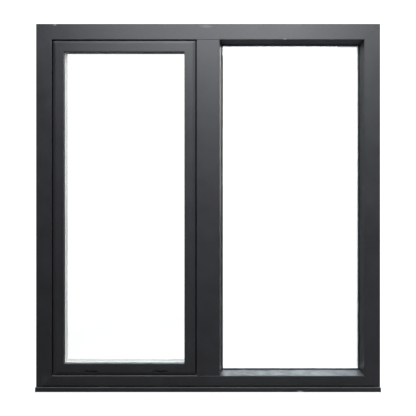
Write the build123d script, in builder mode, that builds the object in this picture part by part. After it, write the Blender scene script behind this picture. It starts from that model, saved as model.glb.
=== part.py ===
from build123d import *
from collections import namedtuple
import os

# Aluminium-clad wood window: an inward opening sash on the left and a fixed
# light on the right, both as seen from outside. X runs to the right from
# outside, Y runs from outside to inside, and Z is up. All sizes in millimetres.
# The origin is the middle of the frame's underside, at mid-depth of the timber.

# Lines seen from outside
WIDTH = 1400.0
HEIGHT = 1495.0
FRAME_FACE = 64.0           # jambs and head, outer edge to opening
MULLION_FACE = 94.0
MULLION_X = 0.0             # middle of the mullion
BOTTOM_FACE_TOP = 62.4      # underside of the frame to the opening
BOTTOM_FACE_LOW = 21.7      # underside of the frame to the cladding's lower edge
SASH_GAP = 5.0              # shadow gap between frame and sash cladding
SASH_FACE = 44.5
SASH_BEVEL = 10.0           # outer band of the sash face that falls away
SASH_BEVEL_DROP = 3.6
SASH_BEVEL_STEP = 0.7       # fine shadow line where the band starts

# Aluminium profiles
ALU_WALL = 2.0
CLAD_DEPTH = 22.0           # front plane to the back of the profile
CLAD_HOOK = 8.0             # return lip that the clips hold
CLAD_ARRIS = 1.4            # rounded outer edges
MITRE_GAP = 0.15            # open line of each corner joint
TEE_GAP = 0.3               # open line where the mullion meets head and bottom

# Timber
TIMBER_DEPTH = 80.0
CLIP_BASE = 2.0             # clip foot between timber and cladding
STOP_DEPTH = 20.0           # outer stop that the sash closes against
STOP_REACH = 8.0            # stop beyond the line of the opening
HARDWARE_GAP = 12.0         # chamber between frame and sash timber
TIMBER_ARRIS = 2.5

# Sash timber
SASH_SHOULDER_GAP = 3.0     # stop to sash shoulder, filled by the weather seal
SASH_NOSE_GAP = 4.0         # stop to the nose of the sash
SASH_NOSE_WALL = 18.0       # nose beside the glass
SASH_OVERLAP = 16.0         # sash lip over the frame's inner face
SASH_LIP_GAP = 2.0          # filled by the lip seal
SASH_LIP = 12.0             # thickness of the lip
SASH_SLOPE = 14.0           # inner sight edge falls away towards the room
SIGHT_STEP = 3.0            # timber sight edge behind the one of the outer gasket

# Glazing
GLASS = 4.0
GLASS_CAVITY = 20.0
GLASS_GAP = 4.0             # glass edge to timber rebate, filled by blocks
SPACER_WIDTH = 12.0
SPACER_INSET = 0.5
GASKET = 3.0
SASH_GLASS_BACK = 16.0      # front plane to the glass of the sash
SASH_GASKET_LIP = 1.0       # gasket that shows inside the sash cladding
SASH_FLANGE = 7.0           # cladding flange that holds the gasket
SASH_GLASS_COVER = 15.5     # glass edge behind the cladding
FIXED_GLASS_BACK = 58.0     # front plane to the glass of the fixed light
FIXED_SPLAY = 7.3           # reveal liner, front to gasket
FIXED_GASKET_LIP = 5.2      # gasket that shows inside the liner
FIXED_GLASS_COVER = 15.0    # glass edge behind the gasket's sight line
FIXED_LEG_SLOPE = 5.0       # inner sight edge falls away towards the room
INNER_GASKET_LIP = 1.0      # inner gasket that shows inside the timber
LINER_GAP = 0.3             # liner to cladding and to timber
LINER_NOSE_BACK = 1.0       # liner edge behind the front plane
BLOCK_LENGTH = 100.0
BLOCK_FROM_CORNER = 60.0

# Drip sill
SILL_TOP = 18.0             # front edge of the sloped top
SILL_FALL = 1.4             # rise of the top from front to back
SILL_REACH = 12.0           # in front of the cladding
SILL_LIP = 2.5              # height of the drip lip
SILL_LIP_BACK = 4.0         # drip lip behind the nose
SILL_FOOT_TOP = 24.0        # foot that is screwed to the timber
SILL_FOOT_LOW = 2.0
SILL_CAP = 2.0              # plastic end cap
SILL_NOSE_ROUND = 1.5

# Drain slots in the lower sash cladding
SLOT_LENGTH = 56.0
SLOT_HEIGHT = 6.0
SLOT_RISE = 14.0            # lower edge of the sash to the middle of the slot
SLOT_FROM_LEFT = 154.0
SLOT_FROM_RIGHT = 143.5

# Clips between timber and cladding
CLIP_LENGTH = 30.0
CLIP_HEAD = 2.5
CLIP_PLAY = 2.0
CLIP_PITCH = 300.0
CLIP_FROM_CORNER = 120.0
SASH_RIB_FROM_EDGE = 26.0   # second rib of the sash cladding

# Seals
SEAL_WIDTH = 4.0
SEAL_INSET = 2.0
GAP_STRIP = 1.7             # rubber strip on the stop, behind the shadow gap

# Handle on the sash stile beside the mullion
HANDLE_RISE = 730.0
ROSETTE_WIDTH = 30.0
ROSETTE_HEIGHT = 72.0
ROSETTE_DEPTH = 11.0
ROSETTE_CORNER = 9.0
ROSETTE_BEVEL = 2.0
NECK_RADIUS = 8.5
NECK_REACH = 31.0           # rosette to the middle of the lever
LEVER_LENGTH = 128.0
LEVER_WIDTH = 20.0
LEVER_THICKNESS = 11.0
LEVER_CORNER = 4.0
LEVER_END_BEVEL = 1.5
LEVER_BEND = 13.0

# Hinges on the outer jamb
HINGE_RADIUS = 7.0
HINGE_LENGTH = 64.0
HINGE_KNUCKLES = 3
HINGE_GROOVE = 0.6          # joint between two knuckles
HINGE_GROOVE_DEPTH = 0.9
HINGE_CAP_BEVEL = 1.5
HINGE_PLATE = 3.0
HINGE_PLATE_HEIGHT = 46.0
HINGE_PLATE_CORNER = 4.0
HINGE_SEAT = 1.0            # barrel to the edge of the sash lip
HINGE_FROM_CORNER = 70.0
HINGE_FRAME_LEAF = 24.0
HINGE_SASH_LEAF = 30.0

# Depths from outside to inside, worked out from the sizes above
Y_TIMBER = -TIMBER_DEPTH / 2
Y_ROOM = TIMBER_DEPTH / 2
Y_CLAD_BACK = Y_TIMBER - CLIP_BASE
Y_FRONT = Y_CLAD_BACK - CLAD_DEPTH
Y_STOP = Y_TIMBER + STOP_DEPTH
Y_SHOULDER = Y_STOP + SASH_SHOULDER_GAP
Y_LIP = Y_ROOM + SASH_LIP_GAP
Y_SASH_ROOM = Y_LIP + SASH_LIP
UNIT = 2 * GLASS + GLASS_CAVITY
Y_SASH_GLASS = Y_FRONT + SASH_GLASS_BACK
Y_SASH_LEG = Y_SASH_GLASS + UNIT + GASKET
Y_FIXED_GLASS = Y_FRONT + FIXED_GLASS_BACK
Y_FIXED_LEG = Y_FIXED_GLASS + UNIT + GASKET

# Rectangles in the plane of the window
Rect = namedtuple("Rect", "left right low high")
FRAME_BOX = Rect(-WIDTH / 2, WIDTH / 2, 0.0, HEIGHT)
SASH_LIGHT = Rect(
    -WIDTH / 2 + FRAME_FACE,
    MULLION_X - MULLION_FACE / 2,
    BOTTOM_FACE_TOP,
    HEIGHT - FRAME_FACE,
)
FIXED_LIGHT = Rect(
    MULLION_X + MULLION_FACE / 2,
    WIDTH / 2 - FRAME_FACE,
    BOTTOM_FACE_TOP,
    HEIGHT - FRAME_FACE,
)


def inset(box, amount):
    """The same rectangle with each side moved inwards."""
    return Rect(box.left + amount, box.right - amount, box.low + amount, box.high - amount)


# Lines of the sash and the fixed light, measured inwards from the opening
SASH_BOX = inset(SASH_LIGHT, SASH_GAP)
SASH_SIGHT = SASH_GAP + SASH_FACE + SASH_GASKET_LIP
SASH_LEG = SASH_SIGHT - SIGHT_STEP
SASH_GLASS_EDGE = SASH_GAP + SASH_FACE - SASH_GLASS_COVER
SASH_REBATE = SASH_GLASS_EDGE - GLASS_GAP
SASH_NOSE = SASH_REBATE - SASH_NOSE_WALL
SASH_LIP_EDGE = -HARDWARE_GAP - SASH_OVERLAP
FIXED_SIGHT = LINER_GAP + FIXED_SPLAY + FIXED_GASKET_LIP
FIXED_LEG = FIXED_SIGHT - SIGHT_STEP
FIXED_GLASS_EDGE = FIXED_SIGHT - FIXED_GLASS_COVER
FIXED_REBATE = FIXED_GLASS_EDGE - GLASS_GAP


def upright(y):
    """A plane facing outside at depth y, with x to the right and z up."""
    return Plane((0, y, 0), x_dir=(1, 0, 0), z_dir=(0, -1, 0))


def face_of(box, y):
    """The filled rectangle of a box at depth y."""
    with BuildSketch(upright(y)) as face:
        with Locations(((box.left + box.right) / 2, (box.low + box.high) / 2)):
            Rectangle(box.right - box.left, box.high - box.low)
    return face.sketch


def slab(box, y_out, y_in, mode=Mode.ADD):
    """A flat slab between two depths, added to or cut from the part in hand."""
    extrude(face_of(box, y_out), amount=y_out - y_in, mode=mode)


def funnel(box_out, y_out, box_in, y_in, mode=Mode.SUBTRACT):
    """A slab whose sides slope from one rectangle to another."""
    loft([face_of(box_out, y_out).face(), face_of(box_in, y_in).face()], mode=mode)


def save(part, name):
    """Labels a finished piece and writes it."""
    part.label = name
    export_step(part, f"parts/{name}.step")


def side_plane(box, side):
    """Start and length of a member that runs along one side of a box.

    In the plane, x points from the outer edge into the opening, y points from
    outside to inside, and the member is extruded along z.
    """
    width = box.right - box.left
    height = box.high - box.low
    starts = {
        "left": ((box.left, Y_FRONT, box.low), (1, 0, 0), (0, 0, 1), height),
        "right": ((box.right, Y_FRONT, box.high), (-1, 0, 0), (0, 0, -1), height),
        "head": ((box.left, Y_FRONT, box.high), (0, 0, -1), (1, 0, 0), width),
        "bottom": ((box.right, Y_FRONT, box.low), (0, 0, 1), (-1, 0, 0), width),
    }
    origin, across, along, length = starts[side]
    return Plane(origin, x_dir=across, z_dir=along), length


def mitre_planes(plane, length):
    """The two 45 degree cuts of a member, each set back by half the joint line."""
    across = plane.x_dir
    along = plane.z_dir
    start = plane.origin + along * (MITRE_GAP / 2)
    end = plane.origin + along * (length - MITRE_GAP / 2)
    return (
        Plane(start, x_dir=plane.y_dir, z_dir=along - across),
        Plane(end, x_dir=plane.y_dir, z_dir=-along - across),
    )


def bent_sheet(points):
    """Closed outline of a thin wall that follows a line of points."""
    with BuildLine() as outline:
        path = Polyline(*points)
        offset(path, amount=ALU_WALL, side=Side.LEFT, closed=True, kind=Kind.INTERSECTION)
    return make_face(outline.edges(), mode=Mode.PRIVATE)


def channel_section(plane, face):
    """Frame cladding: a face, two legs and a return lip behind each leg."""
    with BuildSketch(plane) as section:
        add(bent_sheet([
            (CLAD_HOOK, CLAD_DEPTH),
            (0, CLAD_DEPTH),
            (0, 0),
            (face, 0),
            (face, CLAD_DEPTH),
            (face - CLAD_HOOK, CLAD_DEPTH),
        ]))
        fillet(section.vertices().group_by(Axis.Y)[0], radius=CLAD_ARRIS)
    return section.sketch


def sash_section(plane):
    """Sash cladding: a bevelled outer band, a flat face and a flange at the glass."""
    flange = SASH_GLASS_BACK - GASKET
    with BuildSketch(plane) as section:
        add(bent_sheet([
            (CLAD_HOOK, CLAD_DEPTH),
            (0, CLAD_DEPTH),
            (0, SASH_BEVEL_DROP),
            (SASH_BEVEL, SASH_BEVEL_STEP),
            (SASH_BEVEL, 0),
            (SASH_FACE, 0),
            (SASH_FACE, flange),
            (SASH_FACE - SASH_FLANGE, flange),
        ]))
        add(bent_sheet([
            (SASH_RIB_FROM_EDGE, ALU_WALL / 2),
            (SASH_RIB_FROM_EDGE, CLAD_DEPTH),
            (SASH_RIB_FROM_EDGE - CLAD_HOOK + ALU_WALL, CLAD_DEPTH),
        ]))
        fillet(section.vertices().group_by(Axis.Y)[0].sort_by(Axis.X)[-1], radius=CLAD_ARRIS)
    return section.sketch


def liner_section(plane):
    """Reveal liner of the fixed light: a sloped wall and a flange at the gasket."""
    flange = FIXED_GLASS_BACK - GASKET
    with BuildSketch(plane) as section:
        add(bent_sheet([
            (LINER_GAP, LINER_NOSE_BACK),
            (LINER_GAP + FIXED_SPLAY, flange),
            (FIXED_REBATE + LINER_GAP, flange),
        ]))
        with Locations((LINER_GAP, 0)):
            Rectangle(
                FRAME_FACE,
                CLAD_DEPTH,
                align=(Align.MAX, Align.MIN),
                mode=Mode.SUBTRACT,
            )
    return section.sketch


def mitred(name, section, box, side):
    """Writes a straight member with a mitre at each end."""
    plane, length = side_plane(box, side)
    with BuildPart() as member:
        extrude(section(plane), amount=length)
        for mitre in mitre_planes(plane, length):
            split(bisect_by=mitre, keep=Keep.TOP)
    save(member.part, name)


def zone(box, y_out, y_in):
    """A solid block that marks which part of a timber ring a member owns."""
    with BuildPart() as block:
        slab(box, y_out, y_in)
    return block.part


def timber_member(name, ring, owned, given_away, y_out, y_in):
    """Writes the part of a timber ring inside one box and outside the others."""
    with BuildPart() as member:
        add(ring)
        add(zone(owned, y_out, y_in), mode=Mode.INTERSECT)
        for box in given_away:
            add(zone(box, y_out, y_in), mode=Mode.SUBTRACT)
    save(member.part, name)


def frame_ring():
    """Frame timber in one piece: both rebates are machined before it is divided."""
    with BuildPart() as ring:
        slab(FRAME_BOX, Y_TIMBER, Y_ROOM)
        slab(inset(SASH_LIGHT, STOP_REACH), Y_TIMBER, Y_STOP, Mode.SUBTRACT)
        slab(inset(SASH_LIGHT, -HARDWARE_GAP), Y_STOP, Y_ROOM, Mode.SUBTRACT)
        slab(inset(FIXED_LIGHT, FIXED_REBATE), Y_TIMBER, Y_FIXED_LEG, Mode.SUBTRACT)
        funnel(
            inset(FIXED_LIGHT, FIXED_LEG),
            Y_FIXED_LEG,
            inset(FIXED_LIGHT, FIXED_LEG - FIXED_LEG_SLOPE),
            Y_ROOM,
        )
        fillet(ring.edges().group_by(Axis.Y)[-1], radius=TIMBER_ARRIS)
    return ring.part


def frame_timber():
    """Head and bottom run between the jambs, and the mullion between those two."""
    ring = frame_ring()
    rail_left = SASH_LIGHT.left - HARDWARE_GAP
    rail_right = FIXED_LIGHT.right - FIXED_LEG + FIXED_LEG_SLOPE
    rail_reach = max(STOP_REACH, FIXED_LEG)
    head = Rect(rail_left, rail_right, SASH_LIGHT.high - rail_reach, FRAME_BOX.high)
    bottom = Rect(rail_left, rail_right, FRAME_BOX.low, SASH_LIGHT.low + rail_reach)
    post = Rect(
        SASH_LIGHT.right - STOP_REACH,
        FIXED_LIGHT.left + FIXED_LEG,
        bottom.high,
        head.low,
    )
    timber_member("frame_timber_head", ring, head, [], Y_TIMBER, Y_ROOM)
    timber_member("frame_timber_bottom", ring, bottom, [], Y_TIMBER, Y_ROOM)
    timber_member("mullion_timber", ring, post, [], Y_TIMBER, Y_ROOM)
    left = FRAME_BOX._replace(right=SASH_LIGHT.left + STOP_REACH)
    right = FRAME_BOX._replace(left=FIXED_LIGHT.right - FIXED_LEG)
    timber_member("frame_timber_left", ring, left, [head, bottom], Y_TIMBER, Y_ROOM)
    timber_member("frame_timber_right", ring, right, [head, bottom], Y_TIMBER, Y_ROOM)


def sash_ring():
    """Sash timber in one piece: nose, body and overlapping lip, then the opening."""
    with BuildPart() as ring:
        slab(inset(SASH_LIGHT, SASH_NOSE), Y_TIMBER, Y_SHOULDER)
        slab(SASH_LIGHT, Y_SHOULDER, Y_LIP)
        slab(inset(SASH_LIGHT, SASH_LIP_EDGE), Y_LIP, Y_SASH_ROOM)
        slab(inset(SASH_LIGHT, SASH_REBATE), Y_TIMBER, Y_SASH_LEG, Mode.SUBTRACT)
        funnel(
            inset(SASH_LIGHT, SASH_LEG),
            Y_SASH_LEG,
            inset(SASH_LIGHT, SASH_LEG - SASH_SLOPE),
            Y_SASH_ROOM,
        )
        fillet(ring.edges().group_by(Axis.Y)[-1], radius=TIMBER_ARRIS)
    return ring.part


def sash_timber():
    """The stiles run the full height and the rails fit between them."""
    ring = sash_ring()
    outer = inset(SASH_LIGHT, SASH_LIP_EDGE)
    between = inset(SASH_LIGHT, SASH_LEG - SASH_SLOPE)
    opening = inset(SASH_LIGHT, SASH_LEG)
    top = Rect(between.left, between.right, opening.high, outer.high)
    bottom = Rect(between.left, between.right, outer.low, opening.low)
    left = outer._replace(right=opening.left)
    right = outer._replace(left=opening.right)
    timber_member("sash_timber_top", ring, top, [], Y_TIMBER, Y_SASH_ROOM)
    timber_member("sash_timber_bottom", ring, bottom, [], Y_TIMBER, Y_SASH_ROOM)
    timber_member("sash_timber_left", ring, left, [top, bottom], Y_TIMBER, Y_SASH_ROOM)
    timber_member("sash_timber_right", ring, right, [top, bottom], Y_TIMBER, Y_SASH_ROOM)


def frame_cladding():
    """Four mitred channels and the mullion channel between head and bottom."""
    clad_box = FRAME_BOX._replace(low=BOTTOM_FACE_LOW)
    bottom_face = BOTTOM_FACE_TOP - BOTTOM_FACE_LOW

    def wide(plane):
        return channel_section(plane, FRAME_FACE)

    def narrow(plane):
        return channel_section(plane, bottom_face)

    mitred("frame_clad_head", wide, clad_box, "head")
    bottom_box = clad_box._replace(
        left=SASH_LIGHT.left - bottom_face,
        right=FIXED_LIGHT.right + bottom_face,
    )
    mitred("frame_clad_bottom", narrow, bottom_box, "bottom")
    for side in ("left", "right"):
        jamb_cladding(side)
    mullion_cladding()


def jamb_cladding(side):
    """A jamb channel: mitred at the head, and cut round the bottom cladding's end."""
    sill_line = SILL_TOP + SILL_FALL + TEE_GAP
    plane, length = side_plane(FRAME_BOX._replace(low=sill_line), side)
    head_end = 0 if side == "right" else 1
    opening = SASH_LIGHT.left if side == "left" else FIXED_LIGHT.right
    outwards = -1 if side == "left" else 1
    bottom_face = BOTTOM_FACE_TOP - BOTTOM_FACE_LOW
    notch = opening + outwards * (bottom_face + MITRE_GAP)
    inside = opening - outwards * ALU_WALL
    below = sill_line - ALU_WALL
    with BuildPart() as jamb:
        extrude(channel_section(plane, FRAME_FACE), amount=length)
        split(bisect_by=mitre_planes(plane, length)[head_end], keep=Keep.TOP)
        with BuildSketch(upright(Y_FRONT)) as bottom_end:
            with BuildLine():
                Polyline(
                    (inside, BOTTOM_FACE_TOP + MITRE_GAP + ALU_WALL),
                    (notch, BOTTOM_FACE_LOW),
                    (notch, below),
                    (inside, below),
                    close=True,
                )
            make_face()
        extrude(bottom_end.sketch, amount=-CLAD_DEPTH, mode=Mode.SUBTRACT)
    save(jamb.part, f"frame_clad_{side}")


def mullion_cladding():
    """The mullion channel, square cut between the head and bottom cladding."""
    low = BOTTOM_FACE_TOP + TEE_GAP
    high = HEIGHT - FRAME_FACE - TEE_GAP
    start = (SASH_LIGHT.right, Y_FRONT, low)
    with BuildPart() as mullion:
        extrude(
            channel_section(Plane(start, x_dir=(1, 0, 0), z_dir=(0, 0, 1)), MULLION_FACE),
            amount=high - low,
        )
    save(mullion.part, "mullion_clad")


def sash_cladding():
    """Four mitred profiles, the lower one with two drain slots."""
    for side, name in (("left", "left"), ("right", "right"), ("head", "top")):
        mitred(f"sash_clad_{name}", sash_section, SASH_BOX, side)
    plane, length = side_plane(SASH_BOX, "bottom")
    slot_line = SASH_BOX.low + SLOT_RISE
    with BuildPart() as bottom:
        extrude(sash_section(plane), amount=length)
        for mitre in mitre_planes(plane, length):
            split(bisect_by=mitre, keep=Keep.TOP)
        with BuildSketch(upright(Y_FRONT)) as slots:
            with Locations(
                (SASH_BOX.left + SLOT_FROM_LEFT, slot_line),
                (SASH_BOX.right - SLOT_FROM_RIGHT, slot_line),
            ):
                SlotOverall(SLOT_LENGTH, SLOT_HEIGHT)
        extrude(slots.sketch, amount=-2 * ALU_WALL, mode=Mode.SUBTRACT)
    save(bottom.part, "sash_clad_bottom")


def reveal_liners():
    """Four sloped liners that frame the fixed glass and press on its gasket."""
    for side, name in (("left", "left"), ("right", "right"), ("head", "head"), ("bottom", "sill")):
        mitred(f"fixed_liner_{name}", liner_section, FIXED_LIGHT, side)


def drip_sill():
    """Sill profile under the bottom cladding: foot, sloped top, nose and drip lip."""
    back = Y_CLAD_BACK
    nose = Y_FRONT - SILL_REACH
    start = -WIDTH / 2 + SILL_CAP
    with BuildPart() as sill:
        with BuildSketch(Plane((start, 0, 0), x_dir=(0, 1, 0), z_dir=(1, 0, 0))) as section:
            add(bent_sheet([
                (back + CLIP_BASE / 2, SILL_TOP + SILL_FALL),
                (nose, SILL_TOP),
                (nose, SILL_LIP),
                (nose + SILL_LIP_BACK, SILL_LIP),
                (nose + SILL_LIP_BACK, 0),
            ]))
            with Locations((back, SILL_FOOT_LOW)):
                Rectangle(
                    CLIP_BASE,
                    SILL_FOOT_TOP - SILL_FOOT_LOW,
                    align=(Align.MIN, Align.MIN),
                )
        extrude(amount=WIDTH - 2 * SILL_CAP)
    save(sill.part, "drip_sill")


def sill_end_caps():
    """A thin plastic cap on each end of the sill, in the outline of the profile."""
    nose = Y_FRONT - SILL_REACH
    with BuildPart() as caps:
        with BuildSketch(Plane((-WIDTH / 2, 0, 0), x_dir=(0, 1, 0), z_dir=(1, 0, 0))) as outline:
            with BuildLine():
                Polyline(
                    (Y_TIMBER, 0),
                    (Y_TIMBER, SILL_TOP + SILL_FALL),
                    (Y_CLAD_BACK, SILL_TOP + SILL_FALL),
                    (nose, SILL_TOP),
                    (nose, 0),
                    close=True,
                )
            make_face()
            fillet(outline.vertices().group_by(Axis.Y)[0].sort_by(Axis.X)[0], radius=SILL_NOSE_ROUND)
        extrude(amount=SILL_CAP)
        mirror(about=Plane.YZ)
    save(caps.part, "drip_sill_end_caps")


def glass_unit(name, light, edge, y_glass):
    """Two panes with the spacer that keeps them apart."""
    outline = inset(light, edge)
    panes = (("outer", y_glass), ("inner", y_glass + GLASS + GLASS_CAVITY))
    for place, y in panes:
        with BuildPart() as pane:
            slab(outline, y, y + GLASS)
        save(pane.part, f"{name}_pane_{place}")
    with BuildPart() as spacer:
        y = y_glass + GLASS
        slab(inset(outline, SPACER_INSET), y, y + GLASS_CAVITY)
        slab(inset(outline, SPACER_INSET + SPACER_WIDTH), y, y + GLASS_CAVITY, Mode.SUBTRACT)
    save(spacer.part, f"{name}_spacer")


def flat_ring(name, light, outer, inner, y_out, y_in):
    """A seal that runs round an opening between two lines and two depths."""
    with BuildPart() as ring:
        slab(inset(light, outer), y_out, y_in)
        slab(inset(light, inner), y_out, y_in, Mode.SUBTRACT)
    save(ring.part, name)


def sloped_gasket(name, light, outer, hidden, sight, y_out, y_in):
    """A glazing gasket whose lip thins out onto the glass."""
    with BuildPart() as gasket:
        slab(inset(light, outer), y_out, y_in)
        funnel(inset(light, hidden), y_out, inset(light, sight), y_in)
    save(gasket.part, name)


def weather_seal():
    """Seal between stop and sash shoulder, and the strip that lines the shadow gap."""
    with BuildPart() as seal:
        slab(inset(SASH_LIGHT, SEAL_INSET), Y_STOP, Y_SHOULDER)
        slab(inset(SASH_LIGHT, SEAL_INSET + SEAL_WIDTH), Y_STOP, Y_SHOULDER, Mode.SUBTRACT)
        slab(inset(SASH_LIGHT, LINER_GAP), Y_TIMBER - GAP_STRIP, Y_TIMBER)
        slab(inset(SASH_LIGHT, STOP_REACH), Y_TIMBER - GAP_STRIP, Y_TIMBER, Mode.SUBTRACT)
    save(seal.part, "sash_weather_seal")


def gaskets_and_seals():
    """Black seals at the glass, at the stop and under the sash lip."""
    sash_cover = SASH_GAP + SASH_FACE
    sloped_gasket(
        "sash_outer_gasket", SASH_LIGHT, sash_cover - SASH_FLANGE, sash_cover,
        SASH_SIGHT, Y_SASH_GLASS - GASKET, Y_SASH_GLASS,
    )
    sloped_gasket(
        "fixed_outer_gasket", FIXED_LIGHT, FIXED_GLASS_EDGE, LINER_GAP + FIXED_SPLAY,
        FIXED_SIGHT, Y_FIXED_GLASS - GASKET, Y_FIXED_GLASS,
    )
    flat_ring(
        "sash_inner_gasket", SASH_LIGHT, SASH_GLASS_EDGE, SASH_LEG + INNER_GASKET_LIP,
        Y_SASH_LEG - GASKET, Y_SASH_LEG,
    )
    flat_ring(
        "fixed_inner_gasket", FIXED_LIGHT, FIXED_GLASS_EDGE, FIXED_LEG + INNER_GASKET_LIP,
        Y_FIXED_LEG - GASKET, Y_FIXED_LEG,
    )
    weather_seal()
    lip_seal = SASH_LIP_EDGE + SEAL_INSET
    flat_ring(
        "sash_lip_seal", SASH_LIGHT, lip_seal, lip_seal + SEAL_WIDTH,
        Y_ROOM, Y_LIP,
    )


def glazing_blocks():
    """Setting blocks that carry both glass units on the lower rebates."""
    with BuildPart() as blocks:
        for light, edge, y_glass in (
            (SASH_LIGHT, SASH_GLASS_EDGE, Y_SASH_GLASS),
            (FIXED_LIGHT, FIXED_GLASS_EDGE, Y_FIXED_GLASS),
        ):
            glass = inset(light, edge)
            reach = BLOCK_FROM_CORNER + BLOCK_LENGTH
            for left in (glass.left + BLOCK_FROM_CORNER, glass.right - reach):
                box = Rect(left, left + BLOCK_LENGTH, glass.low - GLASS_GAP, glass.low)
                slab(box, max(y_glass, Y_TIMBER), y_glass + UNIT)
    save(blocks.part, "glazing_blocks")


def spread(length):
    """Even places along a length, starting and ending near its corners."""
    span = length - 2 * CLIP_FROM_CORNER
    count = max(2, round(span / CLIP_PITCH) + 1)
    return [CLIP_FROM_CORNER + span * i / (count - 1) for i in range(count)]


def clip_row(box, side, left, right):
    """Clips along one member, between the hooks at two lines of its section."""
    plane, length = side_plane(box, side)
    hooks = CLAD_DEPTH - ALU_WALL
    foot = CLAD_DEPTH + CLIP_BASE
    middle = (left + right) / 2
    for place in spread(length):
        with BuildSketch(plane.offset(place - CLIP_LENGTH / 2)) as section:
            with Locations((middle, hooks - CLIP_HEAD)):
                Rectangle(right - left, CLIP_HEAD, align=(Align.CENTER, Align.MIN))
            with Locations((middle, hooks)):
                Rectangle(
                    right - left - 2 * (CLAD_HOOK - ALU_WALL + CLIP_PLAY),
                    foot - hooks,
                    align=(Align.CENTER, Align.MIN),
                )
            with Locations((middle, CLAD_DEPTH)):
                Rectangle(right - left, CLIP_BASE, align=(Align.CENTER, Align.MIN))
        extrude(section.sketch, amount=CLIP_LENGTH)


def cladding_clips():
    """Plastic clips that stand the cladding off the timber, one row to a member."""
    bottom_face = BOTTOM_FACE_TOP - BOTTOM_FACE_LOW
    clad_box = FRAME_BOX._replace(low=BOTTOM_FACE_LOW)
    mullion_box = Rect(SASH_LIGHT.right, FIXED_LIGHT.left, SASH_LIGHT.low, SASH_LIGHT.high)
    near = ALU_WALL + CLIP_PLAY
    with BuildPart() as frame_clips:
        for side in ("left", "right", "head"):
            clip_row(clad_box, side, near, FRAME_FACE - near)
        clip_row(clad_box, "bottom", near, bottom_face - near)
        clip_row(mullion_box, "left", near, MULLION_FACE - near)
    save(frame_clips.part, "frame_cladding_clips")
    with BuildPart() as sash_clips:
        for side in ("left", "right", "head", "bottom"):
            clip_row(SASH_BOX, side, near, SASH_RIB_FROM_EDGE - near)
    save(sash_clips.part, "sash_cladding_clips")


def handle():
    """Rosette and lever on the stile beside the mullion, at the height of a hand."""
    stile_out = SASH_LIGHT.right - SASH_LIP_EDGE
    stile_in = SASH_LIGHT.right - SASH_LEG + SASH_SLOPE
    x = (stile_out + stile_in) / 2
    y_rosette = Y_SASH_ROOM + ROSETTE_DEPTH
    y_lever = y_rosette + NECK_REACH
    with BuildPart() as rosette:
        with BuildSketch(upright(Y_SASH_ROOM)) as outline:
            with Locations((x, HANDLE_RISE)):
                RectangleRounded(ROSETTE_WIDTH, ROSETTE_HEIGHT, ROSETTE_CORNER)
        extrude(outline.sketch, amount=-ROSETTE_DEPTH)
        chamfer(rosette.edges().group_by(Axis.Y)[-1], length=ROSETTE_BEVEL)
    save(rosette.part, "handle_rosette")
    with BuildPart() as lever:
        with BuildLine() as route:
            FilletPolyline(
                (x, y_rosette, HANDLE_RISE),
                (x, y_lever, HANDLE_RISE),
                (x, y_lever, HANDLE_RISE - LEVER_LENGTH),
                radius=LEVER_BEND,
            )
        with BuildSketch(upright(y_rosette)) as grip:
            with Locations((x, HANDLE_RISE)):
                RectangleRounded(LEVER_WIDTH, LEVER_THICKNESS, LEVER_CORNER)
        sweep(grip.sketch, path=route.wire())
        chamfer(lever.edges().group_by(Axis.Z)[0], length=LEVER_END_BEVEL)
    save(lever.part, "handle_lever")


def hinge(name, z):
    """A capped barrel in knuckles, with a leaf on the frame and a leaf on the sash."""
    sash_edge = SASH_LIGHT.left + SASH_LIP_EDGE
    x = sash_edge - HINGE_SEAT - HINGE_RADIUS
    y = Y_SASH_ROOM - HINGE_RADIUS + HINGE_PLATE
    low = z - HINGE_LENGTH / 2
    leaf = Rect(x, x, z - HINGE_PLATE_HEIGHT / 2, z + HINGE_PLATE_HEIGHT / 2)
    with BuildPart() as whole:
        with BuildSketch(Plane.XY.offset(low)) as barrel:
            with Locations((x, y)):
                Circle(HINGE_RADIUS)
        extrude(barrel.sketch, amount=HINGE_LENGTH)
        chamfer(whole.edges().filter_by(GeomType.CIRCLE), length=HINGE_CAP_BEVEL)
        for joint in range(1, HINGE_KNUCKLES):
            middle = low + joint * HINGE_LENGTH / HINGE_KNUCKLES
            with BuildSketch(Plane.XY.offset(middle - HINGE_GROOVE / 2)) as groove:
                with Locations((x, y)):
                    Circle(HINGE_RADIUS)
                    Circle(HINGE_RADIUS - HINGE_GROOVE_DEPTH, mode=Mode.SUBTRACT)
            extrude(groove.sketch, amount=HINGE_GROOVE, mode=Mode.SUBTRACT)
        slab(leaf._replace(left=x - HINGE_FRAME_LEAF), Y_ROOM, Y_ROOM + HINGE_PLATE)
        slab(leaf._replace(left=x - HINGE_PLATE), Y_ROOM, y)
        slab(leaf._replace(right=x + HINGE_SASH_LEAF), Y_SASH_ROOM, Y_SASH_ROOM + HINGE_PLATE)
        corners = whole.edges().filter_by(Axis.Y).sort_by(Axis.X)
        fillet(corners[:2] + corners[-2:], radius=HINGE_PLATE_CORNER)
    save(whole.part, name)


os.makedirs("parts", exist_ok=True)
frame_timber()
sash_timber()
frame_cladding()
sash_cladding()
reveal_liners()
drip_sill()
sill_end_caps()
glass_unit("sash", SASH_LIGHT, SASH_GLASS_EDGE, Y_SASH_GLASS)
glass_unit("fixed", FIXED_LIGHT, FIXED_GLASS_EDGE, Y_FIXED_GLASS)
gaskets_and_seals()
glazing_blocks()
cladding_clips()
handle()
hinge("hinge_lower", SASH_LIGHT.low + HINGE_FROM_CORNER)
hinge("hinge_upper", SASH_LIGHT.high - HINGE_FROM_CORNER)
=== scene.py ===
import math

import bmesh
import bpy
from mathutils import Matrix, Vector


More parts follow.
